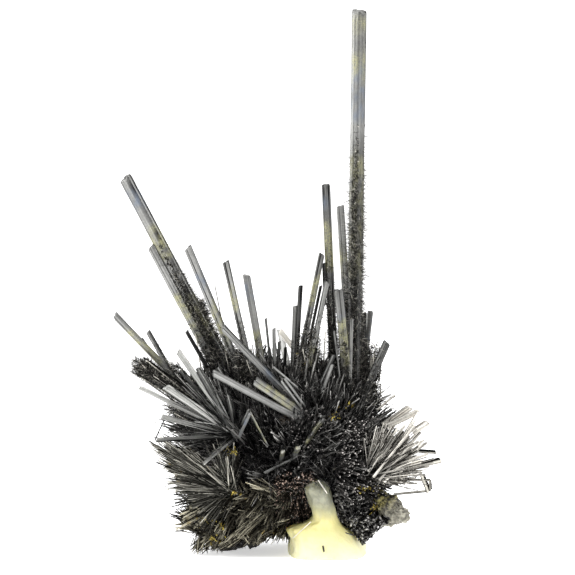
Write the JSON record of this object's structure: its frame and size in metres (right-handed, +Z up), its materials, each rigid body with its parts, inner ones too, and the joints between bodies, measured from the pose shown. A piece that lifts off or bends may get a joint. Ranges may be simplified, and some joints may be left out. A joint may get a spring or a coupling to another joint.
{
  "type": "stibnite specimen",
  "caption": "Cluster of long metallic prisms and needle sprays radiating from a matted dark mass, standing upright on a lump of mounting putty.",
  "frame": {"origin": "middle of the flat underside of the mounting putty", "axes": "+Z up along the tallest crystal, -Y towards the viewer, +X to the viewer's right"},
  "size_m": [0.106, 0.0838, 0.1809],
  "materials": {
    "stibnite": "steel-grey metallic lustre, striated lengthwise, with yellow and blue tarnish",
    "matted_stibnite": "near-black felt of fine needles",
    "pale_stibnite": "pale grey-cream needles, bright along their edges",
    "ochre_stibnite": "olive-grey ribs with ochre spots",
    "pale_mineral": "brownish and slightly translucent",
    "putty": "soft cream-yellow putty, slightly translucent"
  },
  "bodies": {
    "root": {"mounting_putty": "putty", "needle_mass": "matted_stibnite", "pale_lump": "pale_mineral", "tall_crystal": "stibnite", "long_left_crystals": "stibnite", "left_crystal": "stibnite", "middle_left_crystal": "stibnite", "middle_crystal": "stibnite", "slanting_crystal": "stibnite", "thin_middle_pair": "stibnite", "leaning_right_crystal": "stibnite", "pale_leaning_crystal": "stibnite", "second_tall_crystal": "stibnite", "third_tall_crystal": "stibnite", "front_blade": "ochre_stibnite", "short_right_pair": "stibnite", "right_leaning_crystal": "stibnite", "far_left_crystal": "stibnite", "far_left_short_crystal": "stibnite", "front_slanting_crystals": "stibnite", "front_left_spray": "stibnite", "lower_left_fan": "ochre_stibnite", "right_spray": "pale_stibnite", "left_bundle": "matted_stibnite", "back_left_crystal": "stibnite", "back_middle_crystal": "stibnite", "back_right_crystal": "stibnite", "back_spray": "stibnite"}
  },
  "joints": []
}
